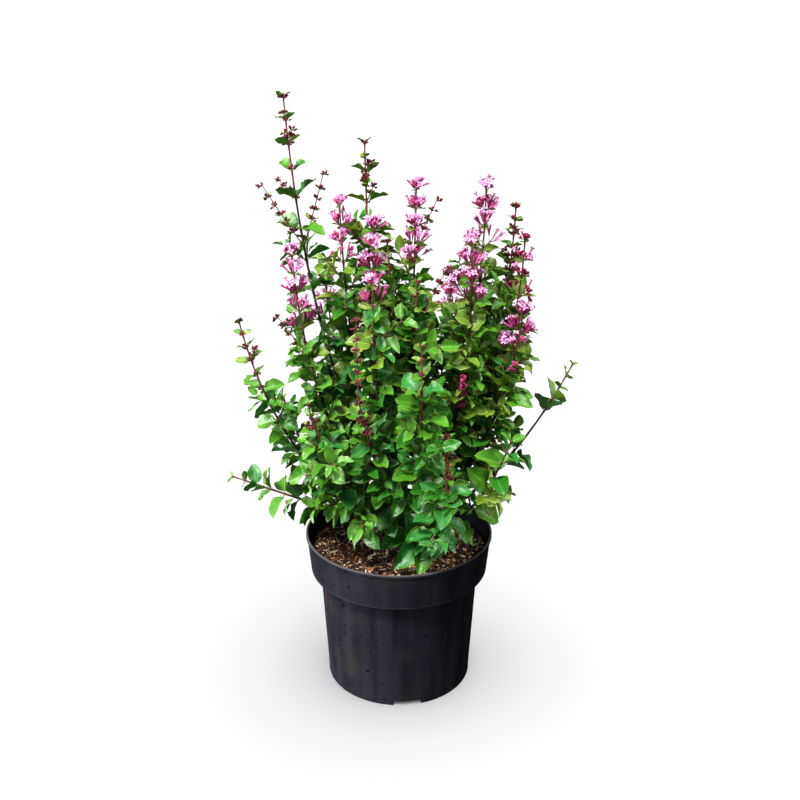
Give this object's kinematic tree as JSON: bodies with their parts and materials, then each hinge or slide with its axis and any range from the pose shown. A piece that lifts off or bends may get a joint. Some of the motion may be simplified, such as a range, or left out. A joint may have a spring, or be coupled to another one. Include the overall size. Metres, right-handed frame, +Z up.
{
  "type": "potted lilac bush",
  "caption": "Young lilac bush in a round nursery pot: slender canes rise from a short woody stool, with dense pointed leaves and upright spikes of small tubular flowers.",
  "frame": {"origin": "middle of the pot's flat underside", "axes": "+Z up, -Y towards the side the bush is seen from, +X to that viewer's right"},
  "size_m": [0.3577, 0.247, 0.5967],
  "materials": {
    "pot": "moulded charcoal plastic, dusty, with dried splashes",
    "soil": "moist dark potting soil with pale chips",
    "bark": "thin dark brown bark",
    "leafy_spray": "glossy green leaves on reddish twigs",
    "flowering_spray": "green leaves below lilac-pink flower spikes"
  },
  "bodies": {
    "root": {"bough_back_far": "bark", "bough_back_left": "bark", "bough_back_mid": "bark", "bough_back_right": "bark", "bough_dark_right": "bark", "bough_front_bud": "bark", "bough_front_left": "bark", "bough_front_mid": "bark", "bough_front_right": "bark", "bough_heart_bud": "bark", "bough_inner_bud": "bark", "bough_leader": "bark", "bough_left_bloom": "bark", "bough_left_bud": "bark", "bough_left_low": "bark", "bough_low_bloom": "bark", "bough_low_left": "bark", "bough_low_right": "bark", "bough_mid_bloom": "bark", "bough_mid_tall": "bark", "bough_right_bloom": "bark", "bough_right_bud": "bark", "bough_right_fan": "bark", "bough_right_low": "bark", "bough_rose_left": "bark", "bough_side_left": "bark", "bough_side_right": "bark", "bough_top_bloom": "bark", "pot": "pot", "soil": "soil", "spray_back_far": "leafy_spray", "spray_back_left": "flowering_spray", "spray_back_mid": "leafy_spray", "spray_back_right": "flowering_spray", "spray_dark_right": "flowering_spray", "spray_front_bud": "leafy_spray", "spray_front_left": "leafy_spray", "spray_front_mid": "leafy_spray", "spray_front_right": "leafy_spray", "spray_heart_bud": "leafy_spray", "spray_inner_bud": "leafy_spray", "spray_leader": "leafy_spray", "spray_left_bloom": "flowering_spray", "spray_left_bud": "leafy_spray", "spray_left_low": "leafy_spray", "spray_low_bloom": "flowering_spray", "spray_low_left": "leafy_spray", "spray_low_right": "leafy_spray", "spray_mid_bloom": "flowering_spray", "spray_mid_tall": "leafy_spray", "spray_right_bloom": "flowering_spray", "spray_right_bud": "leafy_spray", "spray_right_fan": "flowering_spray", "spray_right_low": "leafy_spray", "spray_rose_left": "flowering_spray", "spray_side_left": "leafy_spray", "spray_side_right": "leafy_spray", "spray_top_bloom": "flowering_spray", "stool": "bark"}
  },
  "joints": []
}
